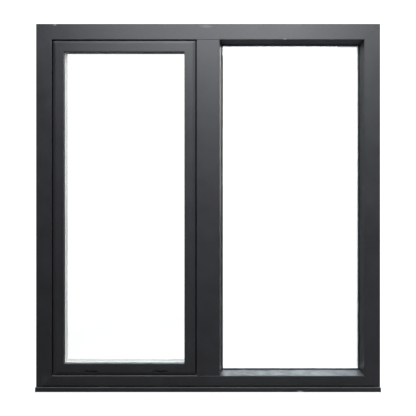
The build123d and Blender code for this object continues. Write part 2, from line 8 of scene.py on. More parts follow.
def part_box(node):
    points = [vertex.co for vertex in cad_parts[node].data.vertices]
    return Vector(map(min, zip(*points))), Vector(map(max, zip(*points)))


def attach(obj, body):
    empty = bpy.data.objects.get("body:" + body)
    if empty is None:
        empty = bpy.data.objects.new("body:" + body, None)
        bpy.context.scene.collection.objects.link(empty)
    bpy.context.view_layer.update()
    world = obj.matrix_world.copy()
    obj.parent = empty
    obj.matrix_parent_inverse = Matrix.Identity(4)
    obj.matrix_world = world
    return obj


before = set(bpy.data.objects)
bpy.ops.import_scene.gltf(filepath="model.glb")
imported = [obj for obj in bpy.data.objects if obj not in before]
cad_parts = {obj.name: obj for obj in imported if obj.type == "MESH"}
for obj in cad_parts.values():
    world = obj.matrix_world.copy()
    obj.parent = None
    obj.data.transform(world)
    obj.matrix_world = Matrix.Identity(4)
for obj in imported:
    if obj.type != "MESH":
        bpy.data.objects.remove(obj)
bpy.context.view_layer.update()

# The window faces -Y. Lengths are in metres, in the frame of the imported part.

# The photograph's view: square on, from a point right of the middle
IMAGE_SIZE = 416
AXIS_PIXEL = (225.3, 180.9)
EYE_RIGHT = 0.070
EYE_HEIGHT = 0.856
EYE_DISTANCE = 2.27
PIXEL_AT_FRONT = 0.0040677
SENSOR = 36.0

# The front faces of the frame
FRONT_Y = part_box("frame_clad_head")[0].y

# Most values of a noise lie in this span
NOISE_SPAN = (0.3, 0.7)


def node(tree, kind, **settings):
    """Adds a shader node. Settings name its properties, or its inputs by label."""
    made = tree.nodes.new("ShaderNode" + kind)
    inputs = settings.pop("inputs", {})
    for name, value in settings.items():
        setattr(made, name, value)
    for name, value in inputs.items():
        socket = made.inputs[name]
        if isinstance(value, bpy.types.NodeSocket):
            tree.links.new(value, socket)
        else:
            socket.default_value = value
    return made


def math_node(tree, operation, first, second=0.0):
    """One step of arithmetic; either side is a number or a socket."""
    made = node(tree, "Math", operation=operation)
    for socket, value in zip(made.inputs, (first, second)):
        if isinstance(value, bpy.types.NodeSocket):
            tree.links.new(value, socket)
        else:
            socket.default_value = value
    return made.outputs[0]


def remap(tree, value, from_low, from_high, to_low=0.0, to_high=1.0, smooth=False):
    """Carries a value from one range to another, held at the ends."""
    made = node(
        tree, "MapRange",
        interpolation_type="SMOOTHSTEP" if smooth else "LINEAR",
        inputs={
            "Value": value,
            "From Min": from_low, "From Max": from_high,
            "To Min": to_low, "To Max": to_high,
        },
    )
    return made.outputs["Result"]


def blend_colour(tree, share, first, second, blend="MIX"):
    """Mixes two colours by a share; each is a colour or a socket."""
    made = node(tree, "Mix", data_type="RGBA", blend_type=blend)
    for index, value in ((0, share), (6, first), (7, second)):
        socket = made.inputs[index]
        if isinstance(value, bpy.types.NodeSocket):
            tree.links.new(value, socket)
        else:
            socket.default_value = value if index == 0 else (*value, 1.0)
    return made.outputs[2]


def new_group(name, inputs, outputs):
    """Starts a node group with named sockets: (label, kind, default) and (label, kind)."""
    tree = bpy.data.node_groups.new(name, "ShaderNodeTree")
    for label, kind, default in inputs:
        socket = tree.interface.new_socket(label, in_out="INPUT", socket_type="NodeSocket" + kind)
        socket.default_value = default
    for label, kind in outputs:
        tree.interface.new_socket(label, in_out="OUTPUT", socket_type="NodeSocket" + kind)
    start = tree.nodes.new("NodeGroupInput")
    end = tree.nodes.new("NodeGroupOutput")
    return tree, start.outputs, end.inputs


def place(tree, group, **inputs):
    """Puts a node group in a material with its own values; _ stands for a space."""
    made = tree.nodes.new("ShaderNodeGroup")
    made.node_tree = group
    for label, value in inputs.items():
        socket = made.inputs[label.replace("_", " ")]
        if isinstance(value, bpy.types.NodeSocket):
            tree.links.new(value, socket)
        else:
            socket.default_value = value
    return made.outputs


def new_material(name):
    """A material with a Principled shader and the part's own coordinates."""
    material = bpy.data.materials.new(name)
    material.use_nodes = True
    tree = material.node_tree
    shader = tree.nodes["Principled BSDF"]
    where = node(tree, "TexCoord").outputs["Object"]
    return material, tree, shader, where


def bump(tree, height, distance, normal=None):
    """Turns a height into a normal; distance is in metres."""
    made = node(tree, "Bump", inputs={"Height": height, "Distance": distance, "Strength": 1.0})
    if normal is not None:
        tree.links.new(normal, made.inputs["Normal"])
    return made.outputs["Normal"]


# Cosine of the turn at which an edge starts to be worn and is fully worn, and the worn patches
EDGE_TURN = (0.995, 0.90)
RUBBED_PATCHES = (0.45, 0.65)


def worn_edge_group():
    """Softened arrises: their rounded normal, and a mask of where they are rubbed."""
    tree, given, result = new_group(
        "worn edge",
        [("Where", "Vector", (0, 0, 0)), ("Radius", "Float", 0.002), ("Amount", "Float", 0.5)],
        [("Mask", "Float"), ("Rounded", "Vector")],
    )
    rounded = node(tree, "Bevel", samples=4, inputs={"Radius": given["Radius"]}).outputs["Normal"]
    true_normal = node(tree, "NewGeometry").outputs["Normal"]
    dot = node(tree, "VectorMath", operation="DOT_PRODUCT")
    tree.links.new(rounded, dot.inputs[0])
    tree.links.new(true_normal, dot.inputs[1])
    edge = remap(tree, dot.outputs["Value"], *EDGE_TURN)
    grain = node(tree, "TexNoise", inputs={"Vector": given["Where"], "Scale": 60.0, "Detail": 3.0})
    rubbed = remap(tree, grain.outputs["Fac"], *RUBBED_PATCHES)
    tree.links.new(
        math_node(tree, "MULTIPLY", math_node(tree, "MULTIPLY", edge, rubbed), given["Amount"]),
        result["Mask"],
    )
    tree.links.new(rounded, result["Rounded"])
    return tree


# How far from its middle a speck fades out, in grains
SPECK_FADE = (0.35, 0.05)


def fine_grain_group():
    """Fine pebbled skin of a powder coat or moulded plastic, with soft cloudiness."""
    tree, given, result = new_group(
        "fine grain",
        [("Where", "Vector", (0, 0, 0)), ("Grain Size", "Float", 0.0012), ("Cloud Size", "Float", 0.12)],
        [("Height", "Float"), ("Cloud", "Float"), ("Speck", "Float")],
    )
    fine = math_node(tree, "DIVIDE", 1.0, given["Grain Size"])
    coarse = math_node(tree, "DIVIDE", 1.0, given["Cloud Size"])
    pebble = node(tree, "TexNoise", inputs={"Vector": given["Where"], "Scale": fine, "Detail": 2.0})
    cloud = node(
        tree, "TexNoise",
        inputs={"Vector": given["Where"], "Scale": coarse, "Detail": 5.0, "Roughness": 0.6},
    )
    speck = node(tree, "TexVoronoi", inputs={"Vector": given["Where"], "Scale": fine})
    tree.links.new(pebble.outputs["Fac"], result["Height"])
    tree.links.new(cloud.outputs["Fac"], result["Cloud"])
    tree.links.new(remap(tree, speck.outputs["Distance"], *SPECK_FADE), result["Speck"])
    return tree


# Upward part of the normal from which dust lies, and the noise of its patches
DUST_FACING = (0.2, 0.95)
DUST_PATCHES = (0.35, 0.7)


def settled_dust_group():
    """Mask of dust on faces that look up, thicker in patches but nowhere under Even."""
    tree, given, result = new_group(
        "settled dust",
        [("Where", "Vector", (0, 0, 0)), ("Amount", "Float", 0.3), ("Even", "Float", 0.0)],
        [("Mask", "Float")],
    )
    normal = node(tree, "NewGeometry").outputs["Normal"]
    up = node(tree, "SeparateXYZ", inputs={"Vector": normal}).outputs["Z"]
    facing = remap(tree, up, *DUST_FACING)
    patch = node(tree, "TexNoise", inputs={"Vector": given["Where"], "Scale": 22.0, "Detail": 6.0})
    patches = remap(tree, patch.outputs["Fac"], *DUST_PATCHES)
    thick = math_node(tree, "MAXIMUM", patches, given["Even"])
    tree.links.new(
        math_node(tree, "MULTIPLY", math_node(tree, "MULTIPLY", facing, thick), given["Amount"]),
        result["Mask"],
    )
    return tree


# How much noise frays a scuff's rim, and where it fades, in shares of its reach
RAGGED_RIM = 0.9
SCUFF_FADE = (1.45, 0.45)


def scuff_group():
    """Mask of one scuffed spot: an ellipse round a centre, with a ragged rim."""
    tree, given, result = new_group(
        "scuff",
        [
            ("Where", "Vector", (0, 0, 0)),
            ("Centre", "Vector", (0, 0, 0)),
            ("Reach", "Vector", (0.02, 0.02, 0.02)),
            ("Amount", "Float", 1.0),
        ],
        [("Mask", "Float")],
    )
    offset = node(tree, "VectorMath", operation="SUBTRACT")
    tree.links.new(given["Where"], offset.inputs[0])
    tree.links.new(given["Centre"], offset.inputs[1])
    share = node(tree, "VectorMath", operation="DIVIDE")
    tree.links.new(offset.outputs[0], share.inputs[0])
    tree.links.new(given["Reach"], share.inputs[1])
    away = node(tree, "VectorMath", operation="LENGTH")
    tree.links.new(share.outputs[0], away.inputs[0])
    rough = node(tree, "TexNoise", inputs={"Vector": given["Where"], "Scale": 140.0, "Detail": 4.0})
    fray = math_node(tree, "MULTIPLY", rough.outputs["Fac"], RAGGED_RIM)
    ragged = math_node(tree, "ADD", away.outputs["Value"], fray)
    spot = remap(tree, ragged, *SCUFF_FADE, smooth=True)
    tree.links.new(math_node(tree, "MULTIPLY", spot, given["Amount"]), result["Mask"])
    return tree


# Pine: growth rings to the metre, how far they wander, and how slowly grain changes along a board
RINGS_PER_METRE = 210.0
RING_WANDER = 0.085
RING_DARKNESS = 0.62
LATE_WOOD_STARTS = 0.25
LATE_WOOD_ENDS = 0.93
GRAIN_STRETCH = 0.045
FIBRE_STRETCH = 0.02

# How far apart in the same log two lamellas may be cut
LAMELLA_SIDEWAYS = 0.9
LAMELLA_LENGTHWAYS = 7.0

# Brightness of fibres, boards and broad tones, and of the glue line between lamellas
FIBRE_TONES = (0.86, 1.06)
BOARD_TONES = (0.90, 1.06)
BROAD_TONES = (0.92, 1.06)
GLUE_LINE = (0.488, 0.497)
GLUE_TONE = 0.72


def pine_grain_group():
    """Laminated pine: growth bands along the board, fine fibres and lamella joints."""
    tree, given, result = new_group(
        "pine grain",
        [
            ("Where", "Vector", (0, 0, 0)),
            ("Shift", "Vector", (0, 0, 0)),
            ("Light", "Color", (0.89, 0.855, 0.785, 1)),
            ("Dark", "Color", (0.71, 0.615, 0.49, 1)),
            ("Lamella", "Float", 0.027),
        ],
        [("Color", "Color"), ("Height", "Float"), ("Band", "Float")],
    )
    shifted = node(tree, "VectorMath", operation="ADD")
    tree.links.new(given["Where"], shifted.inputs[0])
    tree.links.new(given["Shift"], shifted.inputs[1])
    parts = node(tree, "SeparateXYZ", inputs={"Vector": shifted.outputs[0]})
    along, across, deep = parts.outputs["Z"], parts.outputs["X"], parts.outputs["Y"]

    # Each lamella is its own board, so its number moves the grain sideways and lengthways
    layer = math_node(tree, "DIVIDE", deep, given["Lamella"])
    number = math_node(tree, "FLOOR", layer)
    board = node(tree, "TexWhiteNoise", noise_dimensions="1D", inputs={"W": number}).outputs["Value"]
    sideways = math_node(tree, "ADD", across, math_node(tree, "MULTIPLY", board, LAMELLA_SIDEWAYS))
    lengthways = math_node(
        tree, "ADD", along, math_node(tree, "MULTIPLY", board, LAMELLA_LENGTHWAYS),
    )
    stretched = node(
        tree, "CombineXYZ",
        inputs={"X": sideways, "Y": deep, "Z": math_node(tree, "MULTIPLY", lengthways, GRAIN_STRETCH)},
    ).outputs[0]
    drift = node(tree, "TexNoise", inputs={"Vector": stretched, "Scale": 9.0, "Detail": 2.0})
    rings_at = math_node(
        tree, "ADD", sideways, math_node(tree, "MULTIPLY", drift.outputs["Fac"], RING_WANDER),
    )
    ring = math_node(tree, "FRACT", math_node(tree, "MULTIPLY", rings_at, RINGS_PER_METRE))
    late_wood = remap(tree, ring, LATE_WOOD_STARTS, LATE_WOOD_ENDS, smooth=True)
    ring_end = remap(tree, ring, LATE_WOOD_ENDS, 1.0, 1.0, 0.0)
    band = math_node(tree, "MULTIPLY", late_wood, ring_end)
    fibre_at = node(
        tree, "CombineXYZ",
        inputs={"X": sideways, "Y": deep, "Z": math_node(tree, "MULTIPLY", lengthways, FIBRE_STRETCH)},
    ).outputs[0]
    fibre = node(tree, "TexNoise", inputs={"Vector": fibre_at, "Scale": 900.0, "Detail": 3.0})
    tone = node(tree, "TexNoise", inputs={"Vector": stretched, "Scale": 3.0, "Detail": 2.0})

    darkness = math_node(tree, "MULTIPLY", band, RING_DARKNESS)
    mixed = blend_colour(tree, darkness, given["Light"], given["Dark"])
    fibres = remap(tree, fibre.outputs["Fac"], *NOISE_SPAN, *FIBRE_TONES)
    boards = remap(tree, board, 0.0, 1.0, *BOARD_TONES)
    tones = remap(tree, tone.outputs["Fac"], *NOISE_SPAN, *BROAD_TONES)
    value = math_node(tree, "MULTIPLY", math_node(tree, "MULTIPLY", fibres, boards), tones)
    from_middle = math_node(tree, "SUBTRACT", math_node(tree, "FRACT", layer), 0.5)
    glue = remap(tree, math_node(tree, "ABSOLUTE", from_middle), *GLUE_LINE, 1.0, GLUE_TONE)
    shade = math_node(tree, "MULTIPLY", value, glue)
    grey = node(tree, "CombineColor", inputs={"Red": shade, "Green": shade, "Blue": shade}).outputs[0]
    tree.links.new(blend_colour(tree, 1.0, mixed, grey, "MULTIPLY"), result["Color"])
    height = math_node(
        tree, "SUBTRACT",
        math_node(tree, "MULTIPLY", fibre.outputs["Fac"], 0.5),
        math_node(tree, "MULTIPLY", band, 0.35),
    )
    tree.links.new(height, result["Height"])
    tree.links.new(band, result["Band"])
    return tree


WORN_EDGE = worn_edge_group()
FINE_GRAIN = fine_grain_group()
SETTLED_DUST = settled_dust_group()
SCUFF = scuff_group()
PINE_GRAIN = pine_grain_group()


def seen_at(pixel, depth=0.0):
    """The point of the part that shows at a pixel of the photograph, at a depth behind the front."""
    spread = PIXEL_AT_FRONT * (EYE_DISTANCE + depth) / EYE_DISTANCE
    return Vector((
        EYE_RIGHT + (pixel[0] - AXIS_PIXEL[0]) * spread,
        FRONT_Y + depth,
        EYE_HEIGHT - (pixel[1] - AXIS_PIXEL[1]) * spread,
    ))


# Where marks on the coating show in the photograph, in pixels
CORNER_SCUFF_PIXEL = (55, 24.8)
HEAD_SMEAR_PIXEL = (206, 26.3)
HEAD_NICK_PIXEL = (285, 39.2)
PALE_PATCH_PIXEL = (46, 380)
SILL_CHIP_PIXEL = (300, 391.5)

# How far the sill stands in front of the frame
SILL_PROUD = FRONT_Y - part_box("drip_sill")[0].y

# Each mark: its place, its reach in metres and its strength
HEAD_MARKS = (
    (seen_at(CORNER_SCUFF_PIXEL), (0.011, 0.03, 0.004), 0.55),
    (seen_at(HEAD_SMEAR_PIXEL), (0.036, 0.03, 0.008), 0.13),
    (seen_at(HEAD_NICK_PIXEL), (0.010, 0.03, 0.003), 0.5),
)
JAMB_MARKS = ((seen_at(PALE_PATCH_PIXEL), (0.035, 0.03, 0.04), 0.028),)
SILL_MARKS = ((seen_at(SILL_CHIP_PIXEL, -SILL_PROUD), (0.020, 0.03, 0.005), 0.9),)

# The powder coat: soft arris, depth of its pebbled skin, roughness, share of specks, colours
ARRIS = 0.0009
COAT_SKIN = 0.00008
COAT_ROUGHNESS = (0.385, 0.455)
SPECK_SHARE = 0.10
COAT_DARK = (0.0225, 0.0228, 0.0250)
COAT_LIGHT = (0.0300, 0.0304, 0.0332)
COAT_SPECK = (0.06, 0.06, 0.065)
COAT_RUBBED = (0.16, 0.165, 0.175)
# Dust on upward faces; it also serves as painted highlight on their lit edges
COAT_DUST_AND_HIGHLIGHT = (0.22, 0.22, 0.21)
COAT_SCUFFED = (0.55, 0.57, 0.60)

# Grime and painted shade in the groove over the sill: its colour, how far out it comes and how fast it
# fades
GRIME_AND_SHADE = (0.004, 0.004, 0.004)
GRIME_AND_SHADE_REACH = 0.002
GRIME_AND_SHADE_FADE = 0.001


def powder_coat(name, marks=(), dust=0.45, even=0.0, grime_and_shade_from=None):
    """Fine matt anthracite powder coat, a little rubbed, with dust on upward faces that is partly
    painted highlight.

    Behind a given depth, in a groove that rain doesn't reach, it is painted dark: grime and painted
    shade.
    """
    material, tree, shader, where = new_material(name)
    grain = place(tree, FINE_GRAIN, Where=where, Grain_Size=0.0014, Cloud_Size=0.10)
    arris = place(tree, WORN_EDGE, Where=where, Radius=ARRIS, Amount=0.12)
    dust_and_highlight = place(tree, SETTLED_DUST, Where=where, Amount=dust, Even=even)["Mask"]
    clouded = blend_colour(tree, remap(tree, grain["Cloud"], *NOISE_SPAN), COAT_DARK, COAT_LIGHT)
    specks = math_node(tree, "MULTIPLY", grain["Speck"], SPECK_SHARE)
    specked = blend_colour(tree, specks, clouded, COAT_SPECK)
    rubbed = blend_colour(tree, arris["Mask"], specked, COAT_RUBBED)
    # Upward faces turn lighter with dust, which is partly painted highlight.
    colour = blend_colour(tree, dust_and_highlight, rubbed, COAT_DUST_AND_HIGHLIGHT)
    # Behind that depth the colour goes near black: grime and painted shade in the groove.
    if grime_and_shade_from is not None:
        depth = node(tree, "SeparateXYZ", inputs={"Vector": where}).outputs["Y"]
        grime_and_shade_share = remap(tree, depth, grime_and_shade_from, grime_and_shade_from + GRIME_AND_SHADE_FADE)
        colour = blend_colour(tree, grime_and_shade_share, colour, GRIME_AND_SHADE)
    for centre, reach, amount in marks:
        spot = place(tree, SCUFF, Where=where, Centre=centre, Reach=reach, Amount=amount)["Mask"]
        colour = blend_colour(tree, spot, colour, COAT_SCUFFED)
    tree.links.new(colour, shader.inputs["Base Color"])
    rough = remap(tree, grain["Cloud"], *NOISE_SPAN, *COAT_ROUGHNESS)
    tree.links.new(rough, shader.inputs["Roughness"])
    skin = bump(tree, grain["Height"], COAT_SKIN, normal=arris["Rounded"])
    tree.links.new(skin, shader.inputs["Normal"])
    return material


# Depth of the skin of rubber and plastic, their roughness and colours
RUBBER_SKIN = 0.00005
PLASTIC_SKIN = 0.00008
RUBBER_ROUGHNESS = (0.55, 0.72)
PLASTIC_ROUGHNESS = (0.42, 0.55)
GASKET_ROUGHNESS = (0.5, 0.65)
# Near-black rubber colours, darker than bare rubber: black rubber and painted shade
RUBBER_DARK_AND_SHADE = (0.003, 0.003, 0.0032)
RUBBER_LIGHT_AND_SHADE = (0.007, 0.007, 0.0075)
RUBBER_DUST = (0.12, 0.12, 0.115)
PLASTIC_DARK = (0.020, 0.020, 0.021)
PLASTIC_LIGHT = (0.032, 0.032, 0.033)
PLASTIC_WORN = (0.12, 0.12, 0.12)
PLASTIC_DUST = (0.2, 0.2, 0.19)
GASKET_DARK = (0.66, 0.66, 0.64)
GASKET_LIGHT = (0.74, 0.74, 0.72)


def glazing_rubber():
    """Black extruded gasket with a faint bloom; its black is deepened past bare rubber as painted shade.
    """
    material, tree, shader, where = new_material("glazing_rubber")
    grain = place(tree, FINE_GRAIN, Where=where, Grain_Size=0.0008, Cloud_Size=0.05)
    dust = place(tree, SETTLED_DUST, Where=where, Amount=0.04)["Mask"]
    colour = blend_colour(tree, remap(tree, grain["Cloud"], *NOISE_SPAN), RUBBER_DARK_AND_SHADE, RUBBER_LIGHT_AND_SHADE)
    tree.links.new(blend_colour(tree, dust, colour, RUBBER_DUST), shader.inputs["Base Color"])
    rough = remap(tree, grain["Cloud"], *NOISE_SPAN, *RUBBER_ROUGHNESS)
    tree.links.new(rough, shader.inputs["Roughness"])
    tree.links.new(bump(tree, grain["Height"], RUBBER_SKIN), shader.inputs["Normal"])
    shader.inputs["Specular IOR Level"].default_value = 0.15
    return material


def black_plastic():
    """Moulded plastic of the caps, clips and blocks."""
    material, tree, shader, where = new_material("black_plastic")
    grain = place(tree, FINE_GRAIN, Where=where, Grain_Size=0.0009, Cloud_Size=0.03)
    edge = place(tree, WORN_EDGE, Where=where, Radius=0.001, Amount=0.5)["Mask"]
    dust = place(tree, SETTLED_DUST, Where=where, Amount=0.3)["Mask"]
    colour = blend_colour(tree, remap(tree, grain["Cloud"], *NOISE_SPAN), PLASTIC_DARK, PLASTIC_LIGHT)
    colour = blend_colour(tree, edge, colour, PLASTIC_WORN)
    tree.links.new(blend_colour(tree, dust, colour, PLASTIC_DUST), shader.inputs["Base Color"])
    rough = remap(tree, grain["Cloud"], *NOISE_SPAN, *PLASTIC_ROUGHNESS)
    tree.links.new(rough, shader.inputs["Roughness"])
    tree.links.new(bump(tree, grain["Height"], PLASTIC_SKIN), shader.inputs["Normal"])
    return material


def pale_gasket():
    """Light grey gasket between the inner pane and the timber."""
    material, tree, shader, where = new_material("pale_gasket")
    grain = place(tree, FINE_GRAIN, Where=where, Grain_Size=0.0008, Cloud_Size=0.06)
    colour = blend_colour(tree, remap(tree, grain["Cloud"], *NOISE_SPAN), GASKET_DARK, GASKET_LIGHT)
    tree.links.new(colour, shader.inputs["Base Color"])
    rough = remap(tree, grain["Cloud"], *NOISE_SPAN, *GASKET_ROUGHNESS)
    tree.links.new(rough, shader.inputs["Roughness"])
    tree.links.new(bump(tree, grain["Height"], RUBBER_SKIN), shader.inputs["Normal"])
    return material


# The aluminium spacers: fine holes with painted shade inside, and black sealant against the outer pane
HOLE_PITCH = 0.0035
HOLE_RADIUS = 0.0004
HOLE_RIM = 1.3
HOLE_DEPTH = 0.0003
SEALANT_WIDTH = 0.0025
SEALANT_RIM = 1.2
SPACER_ROUGHNESS = (0.38, 0.5)
SPACER_DARK = (0.86, 0.87, 0.88)
SPACER_LIGHT = (0.93, 0.94, 0.95)
SPACER_HOLE_SHADE = (0.05, 0.05, 0.05)
SEALANT = (0.006, 0.006, 0.006)


def spacer_bar(name, outer, middle):
    """Aluminium spacer between the panes: fine holes along its middle, painted dark as shade, sealant at
    its outer edge.
    """
    material, tree, shader, where = new_material(name)
    parts = node(tree, "SeparateXYZ", inputs={"Vector": where})
    run = math_node(tree, "ADD", parts.outputs["X"], parts.outputs["Z"])
    step = math_node(tree, "FRACT", math_node(tree, "DIVIDE", run, HOLE_PITCH))
    along = math_node(tree, "MULTIPLY", math_node(tree, "SUBTRACT", step, 0.5), HOLE_PITCH)
    across = math_node(tree, "SUBTRACT", parts.outputs["Y"], middle)
    spot = node(tree, "CombineXYZ", inputs={"X": along, "Y": across}).outputs[0]
    away = node(tree, "VectorMath", operation="LENGTH")
    tree.links.new(spot, away.inputs[0])
    hole = remap(tree, away.outputs["Value"], HOLE_RADIUS, HOLE_RADIUS * HOLE_RIM, 1.0, 0.0)
    grain = place(tree, FINE_GRAIN, Where=where, Grain_Size=0.0015, Cloud_Size=0.04)
    metal = blend_colour(tree, remap(tree, grain["Cloud"], *NOISE_SPAN), SPACER_DARK, SPACER_LIGHT)
    # The holes are painted dark: painted shade inside them.
    pierced = blend_colour(tree, hole, metal, SPACER_HOLE_SHADE)
    sealed = remap(
        tree, parts.outputs["Y"],
        outer + SEALANT_WIDTH, outer + SEALANT_WIDTH * SEALANT_RIM, 1.0, 0.0,
    )
    tree.links.new(blend_colour(tree, sealed, pierced, SEALANT), shader.inputs["Base Color"])
    rough = remap(tree, grain["Speck"], 0.0, 1.0, *SPACER_ROUGHNESS)
    tree.links.new(rough, shader.inputs["Roughness"])
    tree.links.new(bump(tree, hole, -HOLE_DEPTH), shader.inputs["Normal"])
    shader.inputs["Metallic"].default_value = 0.1
    return material


# Satin metals: stretch and depth of the drawn lines, swing of the roughness, colours
DRAWN_STRETCH = 0.03
DRAWN_DEPTH = 0.00002
SATIN_SWING = 0.06
BARE_EDGE = (0.85, 0.85, 0.85)
ANODISED_DARK = (0.50, 0.50, 0.50)
ANODISED_LIGHT = (0.62, 0.62, 0.62)
PLATED_DARK = (0.42, 0.42, 0.43)
PLATED_LIGHT = (0.55, 0.55, 0.56)
SCREW_DARK = (0.50, 0.50, 0.50)
SCREW_LIGHT = (0.62, 0.62, 0.62)


def satin_metal(name, colour_low, colour_high, roughness):
    """Anodised or plated metal with a satin drawn along Z."""
    material, tree, shader, where = new_material(name)
    parts = node(tree, "SeparateXYZ", inputs={"Vector": where})
    drawn = node(
        tree, "CombineXYZ",
        inputs={
            "X": parts.outputs["X"], "Y": parts.outputs["Y"],
            "Z": math_node(tree, "MULTIPLY", parts.outputs["Z"], DRAWN_STRETCH),
        },
    ).outputs[0]
    lines = node(tree, "TexNoise", inputs={"Vector": drawn, "Scale": 2500.0, "Detail": 2.0})
    edge = place(tree, WORN_EDGE, Where=where, Radius=0.001, Amount=0.4)["Mask"]
    colour = blend_colour(tree, remap(tree, lines.outputs["Fac"], *NOISE_SPAN), colour_low, colour_high)
    tree.links.new(blend_colour(tree, edge, colour, BARE_EDGE), shader.inputs["Base Color"])
    rough = remap(
        tree, lines.outputs["Fac"], *NOISE_SPAN,
        roughness - SATIN_SWING, roughness + SATIN_SWING,
    )
    tree.links.new(rough, shader.inputs["Roughness"])
    tree.links.new(bump(tree, lines.outputs["Fac"], DRAWN_DEPTH), shader.inputs["Normal"])
    shader.inputs["Metallic"].default_value = 1.0
    return material


# The glaze on the timber: its colour where it is rubbed thin, roughness from early to late wood,
# and depth of the grain
THIN_GLAZE = (0.80, 0.70, 0.56)
GLAZE_ROUGHNESS = (0.42, 0.34)
GRAIN_DEPTH = 0.00012


def glazed_pine(name, upright, shift):
    """White-pigmented satin glaze over laminated pine; the grain runs along the member."""
    material, tree, shader, where = new_material(name)
    if not upright:
        turned = node(tree, "SeparateXYZ", inputs={"Vector": where})
        where = node(
            tree, "CombineXYZ",
            inputs={"X": turned.outputs["Z"], "Y": turned.outputs["Y"], "Z": turned.outputs["X"]},
        ).outputs[0]
    pine = place(tree, PINE_GRAIN, Where=where, Shift=shift)
    edge = place(tree, WORN_EDGE, Where=where, Radius=0.003, Amount=0.25)["Mask"]
    tree.links.new(blend_colour(tree, edge, pine["Color"], THIN_GLAZE), shader.inputs["Base Color"])
    rough = remap(tree, pine["Band"], 0.0, 1.0, *GLAZE_ROUGHNESS)
    tree.links.new(rough, shader.inputs["Roughness"])
    tree.links.new(bump(tree, pine["Height"], GRAIN_DEPTH), shader.inputs["Normal"])
    shader.inputs["Coat Weight"].default_value = 0.25
    shader.inputs["Coat Roughness"].default_value = 0.25
    return material


# Glass: its tint as seen and to lamp light, and the depth of its faint waves
GLASS_TINT = (0.985, 0.995, 0.99, 1.0)
GLASS_SHADE = (0.97, 0.98, 0.975, 1.0)
GLASS_WAVES = 0.00002


def float_glass():
    """Clear float glass that lets the lamps through."""
    material, tree, shader, where = new_material("float_glass")
    shader.inputs["Base Color"].default_value = GLASS_TINT
    shader.inputs["Roughness"].default_value = 0.0
    shader.inputs["IOR"].default_value = 1.5
    shader.inputs["Transmission Weight"].default_value = 1.0
    film = node(tree, "TexNoise", inputs={"Vector": where, "Scale": 6.0, "Detail": 4.0})
    tree.links.new(bump(tree, film.outputs["Fac"], GLASS_WAVES), shader.inputs["Normal"])
    lamp = node(tree, "LightPath").outputs["Is Shadow Ray"]
    clear = node(tree, "BsdfTransparent", inputs={"Color": GLASS_SHADE}).outputs[0]
    mixed = tree.nodes.new("ShaderNodeMixShader")
    tree.links.new(lamp, mixed.inputs[0])
    tree.links.new(shader.outputs[0], mixed.inputs[1])
    tree.links.new(clear, mixed.inputs[2])
    tree.links.new(mixed.outputs[0], tree.nodes["Material Output"].inputs["Surface"])
    return material


def dress(names, material):
    """Gives CAD pieces their finish."""
    for name in names:
        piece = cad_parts[name]
        piece.data.materials.clear()
        piece.data.materials.append(material)


def nodes_starting(*starts):
    """Names of the CAD nodes that start with one of these words."""
    return [name for name in sorted(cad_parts) if name.startswith(starts)]


def dress_cladding():
    """Outside metal: frame, mullion, sash, liners and sill."""
    dress(nodes_starting("frame_clad_", "mullion_clad", "sash_clad_", "fixed_liner_"),
          powder_coat("powder_coat"))
    dress(["frame_clad_head"], powder_coat("powder_coat_head", HEAD_MARKS))
    # On the bottom cladding and the sill the dust is thick and even: dust, and also painted highlight
    # along their lit upper faces.
    dress(["frame_clad_bottom"], powder_coat("powder_coat_bottom", dust=1.0, even=0.8))
    dress(["frame_clad_left"], powder_coat("powder_coat_left", JAMB_MARKS))
    # In the sill's groove under the cladding the coat is painted near black: grime and painted shade.
    sill_coat = powder_coat(
        "powder_coat_sill", SILL_MARKS, dust=0.8, even=0.6, grime_and_shade_from=FRONT_Y - GRIME_AND_SHADE_REACH,
    )
    dress(["drip_sill"], sill_coat)


# Where the grain of the first member starts, and how far the next one lies from it
GRAIN_START = Vector((0, 0.008, 0))
GRAIN_STEP = Vector((0.37, 0.0031, 1.7))


def dress_timber():
    """Each timber member has its own board, with the grain along it."""
    members = nodes_starting("frame_timber_", "mullion_timber", "sash_timber_")
    for number, name in enumerate(members):
        low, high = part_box(name)
        upright = high.z - low.z > high.x - low.x
        shift = GRAIN_START + GRAIN_STEP * number
        dress([name], glazed_pine("pine_" + name, upright, shift))


def dress_the_rest():
    """Glass, rubber, plastic and the metal parts on the room side."""
    dress([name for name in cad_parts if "_pane_" in name], float_glass())
    # Gaskets and seals, including the strip on the stop behind the shadow gap, get the near-black
    # rubber, which is partly painted shade.
    dress([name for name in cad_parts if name.endswith(("outer_gasket", "seal"))], glazing_rubber())
    dress([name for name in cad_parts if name.endswith("inner_gasket")], pale_gasket())
    dress(["drip_sill_end_caps", "frame_cladding_clips", "sash_cladding_clips", "glazing_blocks"],
          black_plastic())
    for name in ("sash_spacer", "fixed_spacer"):
        low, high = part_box(name)
        dress([name], spacer_bar(name, low.y, (low.y + high.y) / 2))
    dress(["handle_rosette", "handle_lever"],
          satin_metal("anodised_handle", ANODISED_DARK, ANODISED_LIGHT, roughness=0.32))
    dress(["hinge_lower", "hinge_upper"],
          satin_metal("plated_hinge", PLATED_DARK, PLATED_LIGHT, roughness=0.30))


# Screws of the hinge leaves
SCREW_RADIUS = 0.0036
SCREW_RIM = 0.0003
SCREW_CROWN = 0.0008
CROWN_SHARE = 0.72
SCREW_ROUND = 24
RECESS_REACH = 0.0021
RECESS_HALF_WIDTH = 0.00045
RECESS_FLOOR = 0.0001
SCREW_FROM_END = 0.0085
SCREW_FROM_MIDDLE = 0.0140
LEAF_THICKNESS = 0.003

# Turn of the first screw's recess, and from one to the next, in radians
FIRST_TURN = 0.3
NEXT_TURN = 0.7


